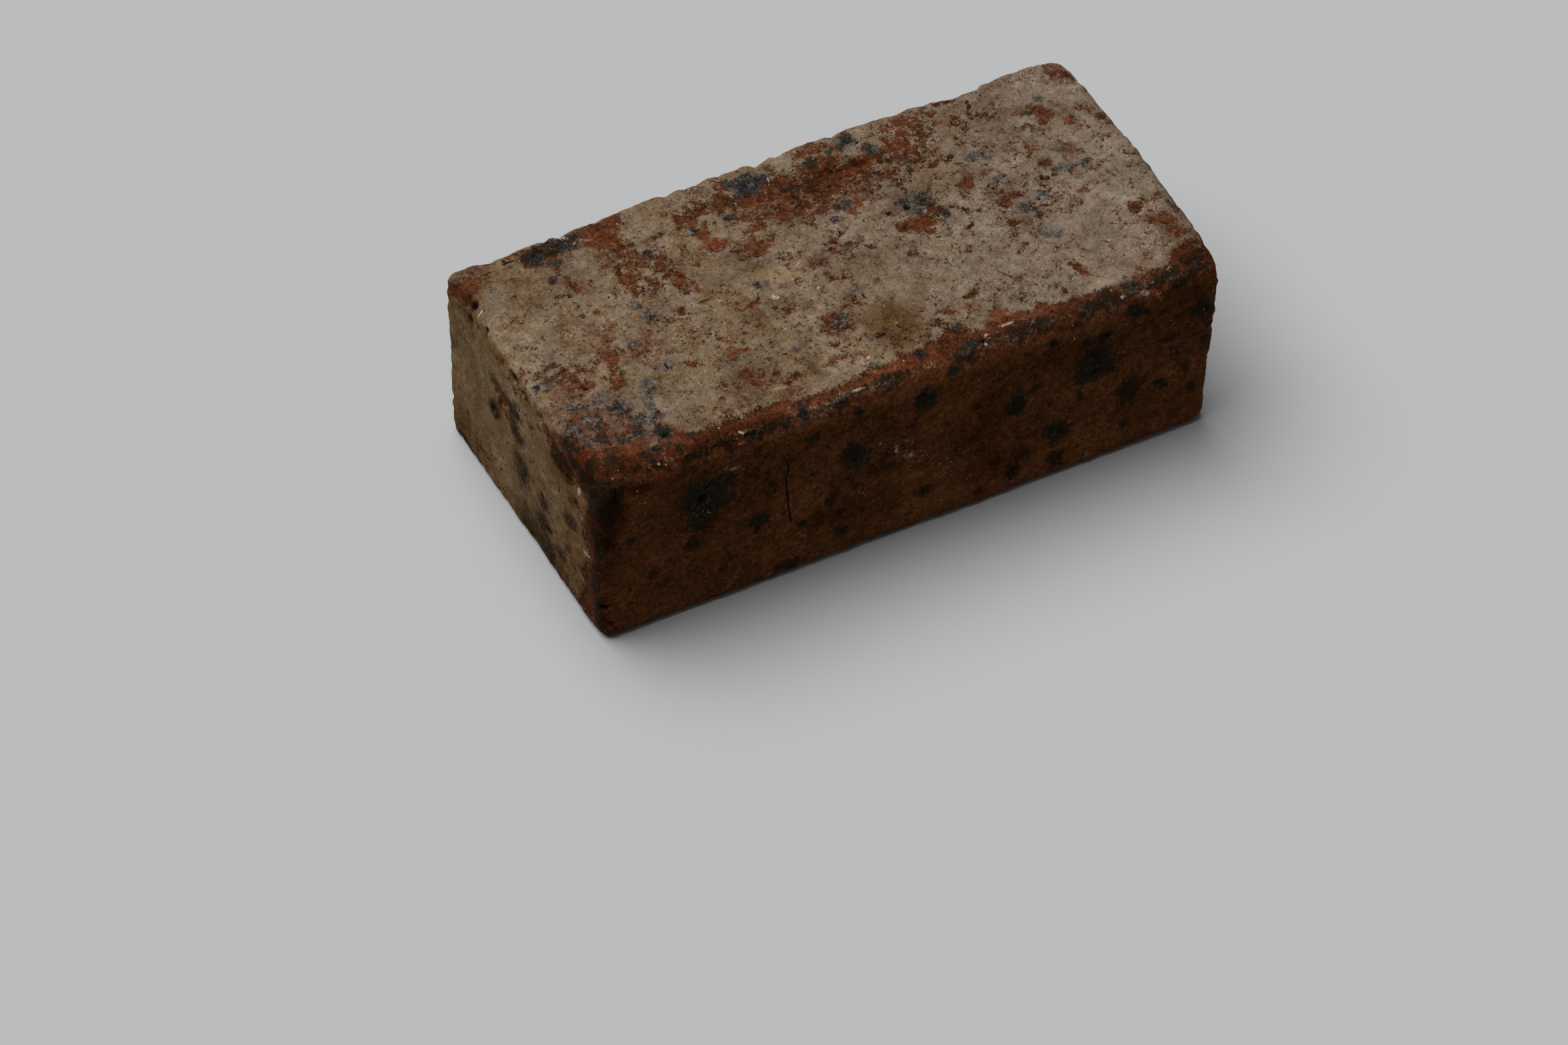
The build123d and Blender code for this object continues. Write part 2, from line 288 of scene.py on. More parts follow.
        (63, -53.5, 4.4, 1.8), (83, -52.5, 4, 2), (98, -54, 6, 2), (-84, 48, 10, 3), (28, 49.5, 4, 3.6),
        (35, 43, 3, 3), (-97, -22, 2, 2), (-105, -21, 2, 2.4), (-82, -30, 2, 5), (-76, -53.5, 8, 1.4),
        (-52, -53.5, 10, 1.8), (20, -53.5, 8, 2), (72, -54, 8, 2), (102, -53, 8, 2.4), (60, -55.5, 10, 1.6),
        (-30, -55.5, 14, 1.6), (42, -52, 12, 2), (70, -52.5, 12, 2.4), (94, -51.5, 10, 2.6),
        (105, -48, 5, 3), (-104, -46.5, 3, 1.8), (-110, -45, 3, 3)],
    # pits, painted near black as the shade inside them
    "shadedPits": [
        (-21, 15, 1.9, 0.8), (-9.2, 46.4, 1.1, 1), (-21.3, 34.7, 1, 0.9), (-69.8, -16.6, 0.8, 2.1),
        (-83, -43.8, 1.8, 1.8), (32.7, 12.9, 1.2, 1.4), (30, 49.9, 1.2, 1.1), (32.5, 48, 1.2, 1.3),
        (65.4, 10.8, 0.9, 0.9), (27.7, -8.5, 1, 0.7), (35.8, -3.8, 1, 0.7), (-113.4, 37, 1.8, 2.2),
        (-114.8, 1, 1.4, 2.6), (-95, 49.2, 2.6, 1.1), (73.8, -2.2, 0.7, 0.9), (-52.4, 23.2, 1.5, 1),
        (-84, 25.4, 1.3, 0.8), (26, 13.5, 1, 0.9), (62.4, -0.6, 0.9, 0.8), (-96.5, -14, 1, 0.9),
        (-7.8, 25.1, 1, 0.7), (26.5, -51.3, 1, 1), (-115, 25, 0.9, 1.6), (1.3, -17.5, 0.7, 1.8),
        (-7.4, -44.5, 0.7, 1.6)],
    "chalk": [
        (-11.6, 3.8, 0.7, 1.7, -35), (-10.5, -7.5, 0.9, 0.8), (-25, -5, 1.4, 1.4),
        (-113, 31.5, 1.8, 0.6, 35), (36, -13.6, 0.7, 0.6), (36.5, -48.9, 3.4, 0.5), (-2, 45.3, 0.7, 1),
        (-3.3, 42.6, 0.6, 0.8), (-17.3, 40.3, 0.7, 0.9), (27.5, -56.2, 3.4, 0.7), (85, -54, 2.4, 0.6),
        (-19, -52.4, 3, 0.6), (44.5, -55.3, 1.3, 0.5), (-72, 47.6, 0.9, 0.7), (-60.5, -52.4, 1.6, 0.5),
        (-89.5, -52.9, 1.7, 0.5, -15), (-10.5, -42.2, 0.8, 0.6), (-91.4, 9, 0.9, 1.1),
        (84, -31.3, 0.8, 0.8), (-56, 43.5, 0.8, 0.7), (80, -1.3, 0.6, 0.5), (-75, 52, 2, 0.7),
        (-62, -54.4, 1.2, 0.6), (90, -55, 2, 0.6)],
    "pale": [
        (-14.3, -4.5, 2.4, 6.5, 1), (95, -12, 14, 14, 0.4), (-17, -41, 8, 7, 0.7), (73, -46.5, 7, 2.2, 0.8),
        (105, 8, 10, 16, 0.4), (-105, 24, 9, 12, 0.4), (96, 46, 14, 8, 0.7), (14, -35.5, 1.6, 2, 0.9),
        (-62, -42, 6, 4, 0.6), (-88, -33.5, 3, 3, 0.6), (35, 53.5, 4, 1.6, 0.8)],
    "stainAndShade": [
        (4, -34, 10, 14, 1), (7, -37, 2.4, 4, 1.2), (-3, -18.5, 4.4, 4.4, 0.6),
        (-28.5, -39.5, 2.6, 5.4, 0.8), (-24.5, 10.3, 3, 2.4, 0.7), (70, 43, 17, 11, 0.5),
        (-88, 30, 14, 10, 0.2), (-35, 12, 12, 10, 0.25), (20, -20, 14, 9, 0.35), (-20, -11, 6, 5, 0.3),
        (-5, -45, 5, 3, 0.4), (66, -11, 9, 4, 0.3), (-102, -50, 16, 6, 0.6), (-114, -40, 6, 14, 0.9),
        (-68, -53, 24, 3, 1), (-20, -53, 30, 2.6, 0.3), (62, -53.5, 52, 3, 0.35), (107, -47, 10, 8, 0.8),
        # the marks at (24, 39.6) and (36.5, 36.6) run along the groove and are painted shadow under its
        # raised back rim
        (-114, 40, 5, 9, 0.7), (-84, 48, 10, 4, 0.7), (24, 39.6, 13, 1.5, 1.1),
        (36.5, 36.6, 4, 1.3, 1.1, -30), (10, 35, 26, 8, 0.4), (44, 23, 16, 16, 0.5), (-68, -43, 12, 6, 0.5),
        (0, -5, 28, 9, 0.3), (-42, -5, 14, 10, 0.35), (56, -25, 28, 11, 0.15), (98, 32, 10, 6, 0.3)],
}
frontStretcher = {
    "pale": [
        (-86, 15, 28, 12, 0.6), (-2, 16, 20, 15, 0.9), (-95, 48, 12, 12, 0.5), (-40, 36, 8, 12, 0.4),
        (104, 30, 12, 20, 0.3), (50, 36, 12, 6, 0.3), (70, 20, 10, 8, 0.2), (0, 69, 112, 4, 1),
        # the second mark on the next line, the long band along the foot, is painted light thrown up from the
        # floor
        (-2, 68, 80, 5, 1.9), (-8, 6, 110, 11, 1.9), (-98, 26, 14, 16, 0.9)],
    "iron": [
        (-77.5, 53.5, 6.6, 5.4), (-70, 55.2, 5.6, 4), (-75.5, 46, 5, 6.4), (-79.5, 30.3, 3, 3.4),
        (-56.2, 30.5, 3.8, 3.4), (-56.5, 26.5, 1.6, 2), (-106.5, 63.5, 3, 5), (-109.5, 57, 3.2, 5),
        (-113, 66, 2.6, 5), (-22.5, 47.5, 3.8, 3), (-20.8, 44, 3.6, 3.8), (-16.5, 45, 2, 1.4),
        (3.8, 59.5, 2.8, 3.6), (-30, 28.6, 1.6, 2.8), (-40.3, 22, 1.8, 1.5), (-25.5, 11.3, 2, 1.4),
        (36.8, 9, 2.8, 4), (68, 46, 5.6, 5), (64, 43, 4.6, 3.8), (71, 43, 4, 4), (66.5, 50.5, 2.6, 1.6),
        (51.2, 63, 2, 2.2), (80.5, 64.8, 3, 2.2), (106.5, 54.3, 3.4, 3.4), (94.3, 45.5, 2.6, 2),
        (108.5, 39.7, 2.2, 2.4), (38.3, 41, 2.8, 4.2), (53, 21.5, 3.8, 3.4), (56.5, 19.5, 2, 1.6),
        (91.5, 26.8, 2.2, 1.8), (93.6, 24, 1.7, 1.8), (69.5, 58.5, 2.6, 2.2), (14.4, 67, 2.4, 2),
        (-24.2, 35.5, 1.2, 1.1), (-19.8, 64, 1.8, 2)],
    "veil": [
        (-109, 61, 5, 8), (-110, 46, 3.4, 3), (-101.7, 42.8, 2.1, 2.2), (-56.4, 63.8, 2, 1.7),
        (-51.6, 45.9, 1.4, 1.6), (-94.3, 23.2, 2.2, 2.6), (-45, 4.5, 5.4, 3.2), (-36, 43.5, 1.8, 2),
        (23, 47.2, 2, 1.8), (-8.6, 33.5, 2.8, 1.6), (-21.5, 29.7, 1, 1.8), (-26, 21, 1.6, 1.8),
        (-25.5, 11.3, 3.6, 2.4), (4.2, 16, 3, 2.4), (30.5, 16.5, 2.8, 1.9), (63.5, 57.5, 2.8, 2.6),
        (85, 62.8, 2.2, 1.6), (109.7, 46.8, 2, 1.8), (45, 45, 2.2, 2.2), (52, 17.5, 2.8, 2.8),
        (40.5, 16.5, 3.4, 3), (53.5, 8, 4.4, 3.4), (80, 28.5, 4.4, 5.4), (101.7, 29, 1.7, 2.3),
        (104, 19.7, 2.3, 2.3), (61.3, 33.5, 2, 3), (78.2, 12, 1.9, 1.9), (-76, 38, 4, 3),
        (-36.5, 59, 1.8, 1.7), (-28, 57, 1.4, 1.2), (91, 59.5, 2.2, 1.2), (66, 47, 9.5, 8.5),
        (-75, 50, 12, 10), (-21.5, 45.5, 5.6, 6), (4, 59.5, 3.8, 4.8), (54, 21, 5.4, 5.2), (38, 41, 4, 5.6),
        (106.5, 54.3, 4.6, 4.6), (80.5, 64.5, 4.4, 3.2)],
    "stainAndShade": [
        (81, 28.4, 6, 6, 0.4), (54, 8, 7, 5, 0.5), (40, 15, 6, 6, 0.4), (4.6, 15.4, 4, 3, 0.4),
        (24, 6.8, 3, 2.2, 0.9), (-100, 24, 10, 14, 0.2), (62, 55, 16, 6, 0.5), (92, 57, 14, 8, 0.4),
        (26, 40, 14, 14, 0.55), (31, 14, 14, 8, 0.6), (-34, 18, 8, 8, 0.4), (-58, 43, 9, 16, 0.25),
        # the mark at (-98, 64.4) runs just under the fold near the top left and is painted shade under its
        # lip
        (-72, 38, 8, 6, 0.4), (-84, 66, 12, 4, 0.3), (-110, 58, 7, 14, 1.5), (-98, 64.4, 6, 1.6, 1.3, -10),
        (98, 67, 14, 6, 0.7), (-111, 30, 4, 24, 0.6), (20, 70, 100, 3, 0.4)],
    "shadedPits": [
        (-75.6, 50.4, 1.9, 1.9), (71.2, 57.5, 1, 1.6), (108, 53.2, 0.9, 0.9), (51.6, 63.8, 0.9, 1),
        (-102, 13.6, 1, 0.8), (-109, 7.5, 1.1, 0.8), (-102.5, 19.5, 1.3, 0.5), (-104, 8, 0.9, 0.5),
        (-47, 30, 0.7, 0.7), (67.8, 42.6, 1.2, 0.8), (37.6, 40.9, 0.7, 0.9), (2.8, 61.8, 1.4, 0.9),
        (64, 5.5, 1, 0.6), (97.6, 14.5, 1.1, 0.6), (-106, 64, 1.2, 3.2), (85, 63, 0.7, 0.7),
        (-72, 64.7, 0.7, 0.7)],
    # where pale sand grains lie thickest; their white dots are partly painted glints
    "grains": [
        (-4, 19, 30, 18, 1), (40, 34, 24, 14, 0.6), (-70, 48, 14, 12, 0.5), (80, 60, 24, 10, 0.5),
        (-50, 8, 30, 8, 0.6)],
    "chalk": [
        (-6.5, 40.3, 1.2, 1.5), (-3.2, 36.3, 1.5, 0.9), (-1.4, 35.3, 1.2, 1.3), (-2.9, 44, 0.7, 1.2),
        (-6.7, 43.2, 0.8, 0.5), (-12.2, 45.7, 1.7, 0.4, 15), (-18.5, 26, 2.4, 0.5, -35),
        (-65, 59.2, 2.6, 1.1, -15), (-67.5, 61, 1.2, 0.8), (-97, 58.1, 1.3, 0.6), (-67.5, 5.1, 0.7, 0.7),
        (57, 29.7, 0.7, 0.6), (68, 32, 0.7, 0.6), (79.4, 33, 0.5, 0.8), (65.3, 24.9, 0.7, 0.5),
        (94.7, 54.3, 0.6, 0.5), (58, 62, 0.7, 0.5), (29, 72.2, 1.8, 0.7), (26.5, 71, 1.2, 0.6),
        (7.4, 21, 0.6, 0.8), (11.7, 27.1, 0.6, 0.5), (35.5, 49.9, 0.6, 0.5), (27, 40.6, 0.6, 0.5),
        (8.2, 13.1, 0.6, 0.6), (77, 70.5, 1.4, 0.5), (96, 72.2, 1.4, 0.5), (45, 71, 1.2, 0.4)],
}
leftHeader = {
    # front edge of the film, from the foot up, as (z, y)
    "filmEdge": [
        (0, -38), (8, -40), (14, -43), (22, -41), (27, -44), (33, -47), (40, -45), (46, -46.5), (52, -48),
        (57, -47), (60, -41), (64, -36), (68, -31), (72, -27)],
    "wear": [
        (45, 71, 10, 5, 2, -25), (52, 65, 4, 3, 1.8), (3, 71.5, 3.5, 2.4, 1.8, -45),
        (13.3, 69, 1.8, 2.6, 1.7), (-2.5, 67.8, 3, 0.9, 1.6), (15.5, 51.5, 4, 3, 2), (-31, 63, 8, 4, 1.7),
        (-36, 57, 3, 5, 1.6), (-28, 57.5, 5, 2.4, 1.6), (-25, 66, 5, 5, 1.9), (-40.5, 51, 2.6, 2, 1.5),
        (-37, 48, 2, 2.4, 1.3), (-26, 71, 7, 4, 2), (18, 13, 1.6, 1.4, 1.7), (32.5, 9, 5.5, 2, 1),
        (24, 5.5, 1.3, 1.1, 1.6), (16.5, 5, 3, 1, 1.2, -35), (13, 17.5, 3, 1.4, 0.9),
        (-32, 22, 1.6, 4, 0.9, 30), (36.5, 66.5, 2, 2.6, 1.4), (30, 67.3, 1.6, 0.8, 1.3),
        (-38, 35.5, 3, 1.2, 1.1)],
    "iron": [
        (-17.2, 14.8, 1.2, 1.2), (22, 38.5, 2, 0.9, -40), (-50, 68, 2.4, 2), (-46, 63, 1.6, 2.4),
        (-40, 68, 2, 1.4), (-51, 60, 2, 3)],
    "pale": [(0, 48, 56, 26, 1.1), (20, 67, 14, 5, 1.5), (25, 30, 30, 30, 0.5), (-20, 30, 22, 20, 0.4)],
    "veil": [
        (5, 53, 6, 2), (6, 49, 2.6, 3.6), (3, 43.3, 4.6, 3), (18.5, 55, 4.4, 1.8), (15, 46.5, 1.8, 1.8),
        (-13, 24.5, 2, 2.8), (-13, 16, 5.4, 4.4), (-17, 6.5, 5, 6), (-26, 14, 5, 2.6, -35), (-2.5, 3, 6, 4),
        (0, 12.5, 2.2, 2), (-0.5, 7.8, 2, 2), (44.5, 1.5, 6.5, 2.6), (-38, 68.5, 6, 2.6),
        (-37, 40.5, 2.4, 1.6), (-34, 37, 5, 2.4, -30), (0.5, 31, 5.6, 4), (2, 26, 4.4, 5.4),
        (-14.3, 28.3, 3.2, 3), (-14, 10, 3.4, 5), (-52.5, 44, 2.4, 16), (-51, 26, 2.6, 9),
        (-52.5, 12, 2.2, 12), (-51.5, 62, 3, 12), (-46, 68, 4, 3), (27.6, 0.5, 2, 1.4), (20, 40, 5, 3, -40),
        (-30, 60, 8, 5)],
    "shadedPits": [
        (-17.2, 14.8, 1.1, 1.1), (-54, 15, 1.8, 1.5), (21, 39, 2.4, 0.8, -40), (4.2, 69.3, 1.3, 2.2, 30),
        (36.8, 66.3, 1.4, 1.8), (2.8, 61.8, 1, 1.5), (30, 67.3, 1.4, 0.6), (-19.2, 22, 0.7, 1.6)],
    "stainAndShade": [
        (-51, 48, 5, 14, 1), (-51, 18, 5, 18, 0.6), (-46, 66, 9, 6, 0.9), (-40, 20, 10, 18, 0.5),
        (-12, 4, 24, 7, 1), (36, 8, 16, 9, 0.6), (-30, 56, 10, 10, 0.6), (30, 40, 16, 22, 0.3),
        (1.5, 29, 7, 8, 0.8), (-14, 27, 4, 4.4, 0.8), (-13, 16, 6, 5, 0.9), (-17, 6, 6, 6, 1),
        (-27, 14, 5, 3.4, 0.9), (4, 45, 5.4, 5, 1.1), (6, 52.5, 6, 2.4, 1), (20, 40, 6, 3.6, 1.2, -40),
        (-34, 37.5, 6, 3.4, 1.1, -30), (-30, 61, 9, 6, 1), (-2, 3, 7, 4.4, 1.2), (44, 2, 7, 3, 1),
        (-38, 67, 6, 3, 0.9), (15, 46, 2.4, 2.4, 0.9)],
    "chalk": [(-15.8, 65.8, 0.7, 1.9), (-45.5, 33, 2.6, 1), (-42, 59, 1.2, 3.6), (-44, 48, 0.8, 2.2)],
}


# marks strewn from a seed, most of them small; the hidden faces carry the same kinds as the others
def strew(seed, count, spanU, spanV, sizes, amounts=None):
    draw = np.random.default_rng(seed)
    marks = []
    for _ in range(count):
        size = sizes[0] + (sizes[1] - sizes[0]) * draw.random() ** 2
        mark = [draw.uniform(*spanU), draw.uniform(*spanV), size, size * draw.uniform(*skin["strewnWidth"])]
        marks.append(tuple(mark + ([draw.uniform(*amounts)] if amounts else [])))
    return marks


# mottling of the near corner
upperBed["veil"] += strew(41, 30, (-113, -83), (-43, -18), (0.6, 1.7))
upperBed["veil"] += strew(43, 34, (-110, -72), (-55, -45), (0.5, 1.5))
upperBed["iron"] += strew(42, 16, (-113, -84), (-42, -20), (0.4, 0.9))
lowerBed = {
    "filmHalf": 52.0,                    # the film ends this far from the middle
    "wear": strew(11, 80, (-112, 112), (-53, 53), (1.2, 9.0), (0.7, 2.0)),
    "thin": strew(16, 14, (-105, 105), (-50, 50), (4.0, 9.0), (0.5, 1.0)),
    "iron": strew(12, 34, (-110, 110), (-50, 50), (1.0, 3.4)),
    "veil": strew(17, 34, (-110, 110), (-50, 50), (1.2, 5.0)),
    "shadedPits": strew(13, 22, (-108, 108), (-50, 50), (0.8, 1.7)),
    "stainAndShade": strew(14, 9, (-100, 100), (-45, 45), (8.0, 20.0), (0.2, 0.6)),
    "chalk": strew(15, 14, (-105, 105), (-50, 50), (0.6, 1.8)),
}
backStretcher = {
    "iron": strew(21, 30, (-110, 110), (4, 70), (1.0, 5.2)),
    "veil": strew(26, 30, (-110, 110), (4, 70), (1.4, 6.0)),
    "shadedPits": strew(22, 18, (-108, 108), (5, 68), (0.7, 1.4)),
    "stainAndShade": strew(23, 12, (-105, 105), (8, 65), (5.0, 16.0), (0.2, 0.6)),
    "chalk": strew(24, 24, (-108, 108), (5, 70), (0.5, 1.4)),
    "grains": strew(25, 6, (-90, 90), (10, 60), (14.0, 30.0), (0.4, 1.0)),
}
rightHeader = {
    "filmHalf": 50.0,
    "wear": strew(31, 34, (-52, 54), (2, 72), (1.8, 9.0), (0.8, 2.0)),
    "thin": strew(36, 8, (-48, 48), (5, 68), (4.0, 9.0), (0.5, 1.0)),
    "iron": strew(32, 16, (-50, 50), (5, 68), (1.2, 4.2)),
    "veil": strew(37, 14, (-50, 50), (5, 68), (1.4, 5.0)),
    "shadedPits": strew(33, 9, (-48, 50), (6, 66), (0.7, 1.4)),
    "stainAndShade": strew(34, 5, (-45, 45), (8, 64), (6.0, 14.0), (0.2, 0.6)),
    "chalk": strew(35, 9, (-50, 50), (6, 68), (0.5, 1.4)),
}

# what the skin tells the material at each point, and which of a face's marks have an amount
fieldNames = ("limeFilm", "thin", "iron", "veil", "shadedPits", "chalk", "grains", "pale", "stainAndShade", "ochre",
              "rubbed", "crack", "crackShare")
withAmount = ("wear", "thin", "pale", "stainAndShade", "grains")

# lines pressed or torn into the clay: face, half width and depth of the hollow, half width of the crack
# in it, painted dark as shade (0 where the clay is only folded), points on that face
lines = [
    ("frontStretcher", 0.8, 0.35, 0.3, [
        (-45.7, 53), (-45.2, 49.5), (-46.2, 45.4), (-45.7, 39), (-45.3, 33), (-44.7, 25)]),
    ("frontStretcher", 1.3, 0.9, 0, [(-103, 66), (-98, 65.2), (-94, 63.8)]),
    ("frontStretcher", 1.2, 0.7, 0, [(64.5, 51.8), (70, 52), (75.5, 53.3), (81, 55)]),
    ("upperBed", 1.4, 1.1, 0, [
        (12, 39.5), (20, 39.8), (25, 40.2), (30, 39), (34, 37.4), (38.5, 35.8), (41.5, 33.4)]),
    ("upperBed", 0.7, 0.4, 0.15, [(45.6, -26.5), (47, -29), (48.2, -31.5)]),
    ("upperBed", 0.7, 0.4, 0.15, [(32.8, -14.6), (33.1, -17.8)]),
    ("upperBed", 0.7, 0.3, 0.12, [(55, -6.6), (56.6, -8.8)]),
]


# quads on the six sides of a box, wound to face outwards, on points that run from 0 to 1 each way
def boxGrid(counts):
    number = np.full([n + 1 for n in counts], -1)
    steps = np.indices(number.shape)
    onSkin = np.zeros(number.shape, bool)
    for axis, n in enumerate(counts):
        onSkin |= (steps[axis] == 0) | (steps[axis] == n)
    number[onSkin] = np.arange(onSkin.sum())
    points = np.stack([steps[axis][onSkin] / n for axis, n in enumerate(counts)], 1)
    quads = []
    for axis in range(3):
        for side in (0, -1):
            sheet = np.moveaxis(number, axis, 0)[side]
            corners = [sheet[:-1, :-1], sheet[1:, :-1], sheet[1:, 1:], sheet[:-1, 1:]]
            ring = np.stack(corners, -1).reshape(-1, 4)
            quads.append(ring[:, ::-1] if (side == 0) != (axis == 1) else ring)
    return points, np.concatenate(quads)


def vertexNormals(points, quads):
    a, b, c, d = (points[quads[:, i]] for i in range(4))
    across = np.cross(c - a, d - b)
    normals = np.zeros_like(points)
    for i in range(4):
        np.add.at(normals, quads[:, i], across)
    return normals / np.linalg.norm(normals, axis=1, keepdims=True)


# each pass moves a point half way to the middle of its neighbours
def smoothed(points, quads, passes):
    count = np.zeros(len(points))
    for i in range(4):
        np.add.at(count, quads[:, i], 2)
    for _ in range(passes):
        total = np.zeros_like(points)
        for i in range(4):
            np.add.at(total, quads[:, i], points[quads[:, (i + 1) % 4]] + points[quads[:, i - 1]])
        points = (points + total / count[:, None]) / 2
    return points


# seeded noise with lumps of a size in mm, about -1 to 1
def lumps(points, size, seed):
    shift = Vector(skin["noiseShift"]) * (seed + 1)
    values = np.array([noise.noise(Vector(p) / size + shift) for p in points])
    return np.clip(values * skin["noiseRise"], -skin["noiseTop"], skin["noiseTop"])


def smoothStep(low, high, values):
    t = np.clip((values - low) / (high - low), 0, 1)
    return t * t * (3 - 2 * t)


# distance to the middle of a mark, 1 on its rim
def markDistance(face, mark, turn):
    along = face["u"] - mark[0]
    across = face["v"] - mark[1]
    c, s = math.cos(math.radians(turn)), math.sin(math.radians(turn))
    along, across = along * c + across * s, across * c - along * s
    return np.sqrt((along / mark[2]) ** 2 + (across / mark[3]) ** 2 + (face["w"] / skin["markDepth"]) ** 2)


# strongest of a face's marks at each point: 1 in the middle, 0.5 on the rim
def markField(face, marks, sized=False):
    field = np.zeros(len(face["u"]))
    for mark in marks:
        turn = mark[4 + sized] if len(mark) > 4 + sized else 0.0
        amount = mark[4] if sized else 1.0
        field = np.maximum(field, amount * np.clip(skin["markEnd"] - markDistance(face, mark, turn), 0, 1))
    return field


# distance from a line of points on a face, below zero on one side of it
def lineDistance(face, points):
    nearest = np.full(len(face["u"]), np.inf)
    for (u0, v0), (u1, v1) in zip(points, points[1:]):
        du, dv, awayU, awayV = u1 - u0, v1 - v0, face["u"] - u0, face["v"] - v0
        t = np.clip((awayU * du + awayV * dv) / (du * du + dv * dv), 0, 1)
        distance = np.hypot(awayU - t * du, awayV - t * dv)
        side = np.where(du * awayV < dv * awayU, -1, 1)
        nearest = np.where(distance < abs(nearest), side * distance, nearest)
    return np.hypot(nearest, face["w"] / skin["lineDepth"]) * np.sign(nearest)


# the edge of the box between two sides: its axes, which way is out, and where it lies
def arris(low, high, sideA, sideB):
    axes, signs = [sideA[0], sideB[0]], np.array([sideA[1], sideB[1]])
    return axes, signs, np.where(signs > 0, high[axes], low[axes])


# rounds one edge of the box further, as seen along the axis that is neither of the two
def roundOff(points, low, high, sideA, sideB, radius, fade):
    axes, signs, corner = arris(low, high, sideA, sideB)
    centre = corner - radius * signs
    out = (points[:, axes] - centre) * signs
    reach = np.hypot(out[:, 0], out[:, 1])
    worn = (out > 0).all(1) & (reach > radius)
    share = np.ones(worn.sum()) if fade is None else 1 - smoothStep(fade[1], fade[2], points[worn, fade[0]])
    target = centre + out[worn] * (radius / reach[worn])[:, None] * signs
    rows = np.flatnonzero(worn)[:, None]
    points[rows, axes] += (target - points[rows, axes]) * share[:, None]


# the grid laid on the solid, worn rounder, with arrises that wander in and out
def laySkin(low, high):
    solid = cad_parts["brick"].data
    grid, quads = boxGrid([round(side / skin["pitch"]) for side in high - low])
    corners = [v.co / mm for v in solid.vertices]
    tree = BVHTree.FromPolygons(corners, [tuple(p.vertices) for p in solid.polygons])
    points = np.array([tree.find_nearest(Vector(p))[0] for p in low + grid * (high - low)])
    for rounding in skin["roundings"]:
        roundOff(points, low, high, *rounding)
    points = smoothed(points, quads, skin["smoothing"])
    for sideA, sideB, profile in wavyArrises:
        axes, signs, corner = arris(low, high, sideA, sideB)
        along = points[:, 3 - sum(axes)]
        away = np.hypot(*(points[:, axes] - corner).T)
        push = np.interp(along, *zip(*profile)) * np.exp(-(away / skin["arrisReach"]) ** 2)
        points[:, axes] += push[:, None] * signs / math.sqrt(2)
    return points, quads


# each face with its own coordinates u and v, the distance w in from it, and its marks
def brickFaces(points, low, high):
    x, y, z = points.T
    left = low[0] + (high[1] - y) / (high[1] - low[1]) * skin["leftSkew"]
    right = high[0] - (high[2] - z) / (high[2] - low[2]) * skin["rightLean"]
    return {
        "upperBed": {"u": x, "v": y, "w": high[2] - z, "marks": upperBed},
        "lowerBed": {"u": x, "v": y, "w": z - low[2], "marks": lowerBed},
        "frontStretcher": {"u": x, "v": z, "w": y - low[1], "marks": frontStretcher},
        "backStretcher": {"u": x, "v": z, "w": high[1] - y, "marks": backStretcher},
        "leftHeader": {"u": y, "v": z, "w": x - left, "marks": leftHeader},
        "rightHeader": {"u": y, "v": z, "w": right - x, "marks": rightHeader},
    }


# hollows of the pressed and torn lines, which keep their course, and the cracks in some of them
def pressLines(faces, fields):
    hollows = np.zeros(len(fields["crack"]))
    for faceName, halfWidth, depth, crackWidth, path in lines:
        away = lineDistance(faces[faceName], path)
        hollows -= depth * np.exp(-(away / halfWidth) ** 2)
        if crackWidth:
            share = np.interp(abs(away), skin["crackBand"], (1, 0))
            fields["crack"] = np.where(share > fields["crackShare"], away / crackWidth, fields["crack"])
            fields["crackShare"] = np.maximum(share, fields["crackShare"])
    return hollows


# marks have uneven outlines, so their coordinates wander a little
def layMarks(points, faces, fields):
    wander = [sum(reach * lumps(points, size, seed + i) for size, reach, seed in skin["markWander"])
              for i in range(2)]
    for face in faces.values():
        face["u"], face["v"] = face["u"] + wander[0], face["v"] + wander[1]
        for kind, marks in face["marks"].items():
            if kind == "wear":
                face["wear"] = limeFilm["wear"] * markField(face, marks, True)
            elif kind in fields:
                fields[kind] = np.maximum(fields[kind], markField(face, marks, kind in withAmount))


